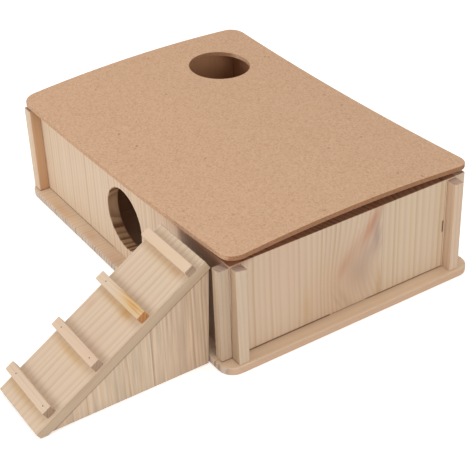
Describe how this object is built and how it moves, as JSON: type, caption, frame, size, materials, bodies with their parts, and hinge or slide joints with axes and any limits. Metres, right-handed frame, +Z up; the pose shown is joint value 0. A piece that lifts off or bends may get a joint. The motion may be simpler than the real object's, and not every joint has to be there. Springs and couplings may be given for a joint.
{
  "type": "hamster house",
  "caption": "Low wooden cabin for a hamster with a round entry hole, corner battens, a loose cork lid with a round hole, and a loose cleated ramp.",
  "frame": {"origin": "under the middle of the cabin, on the base board's underside", "axes": "+Z up, +X to the right along the cabin's length, -Y to the front, where the entry hole and the ramp are"},
  "size_m": [0.3169, 0.3617, 0.0961],
  "materials": {
    "pine_base": "bare sawn and sanded pine, slightly darker",
    "pine_wall": "bare sanded edge-glued pine with upright grain",
    "pine_batten": "bare sanded pale pine strip",
    "pine_ramp": "bare sanded pine",
    "cork": "bare fine-grained agglomerated cork",
    "brad_steel": "bare wire"
  },
  "bodies": {
    "house": {"base_board": "pine_base", "front_wall": "pine_wall", "back_wall": "pine_wall", "left_wall": "pine_wall", "right_wall": "pine_wall", "front_wall_batten_left": "pine_batten", "front_wall_batten_right": "pine_batten", "back_wall_batten_left": "pine_batten", "back_wall_batten_right": "pine_batten", "left_wall_batten_front": "pine_batten", "left_wall_batten_back": "pine_batten", "right_wall_batten_front": "pine_batten", "right_wall_batten_back": "pine_batten", "base_brads": "brad_steel", "corner_brads": "brad_steel"},
    "lid": {"cork_lid": "cork"},
    "ramp": {"ramp_board": "pine_ramp", "ramp_panel_left": "pine_ramp", "ramp_panel_right": "pine_ramp", "ramp_cleat_1": "pine_batten", "ramp_cleat_2": "pine_batten", "ramp_cleat_3": "pine_batten", "ramp_cleat_4": "pine_batten", "ramp_brads": "brad_steel"}
  },
  "joints": [
    {"name": "lid_lift", "type": "slide", "parent": "house", "child": "lid", "axis": [0, 0, 1], "range_m": [0, 0.12]},
    {"name": "ramp_pull", "type": "slide", "parent": "house", "child": "ramp", "axis": [0, -1, 0], "range_m": [0, 0.15]}
  ]
}
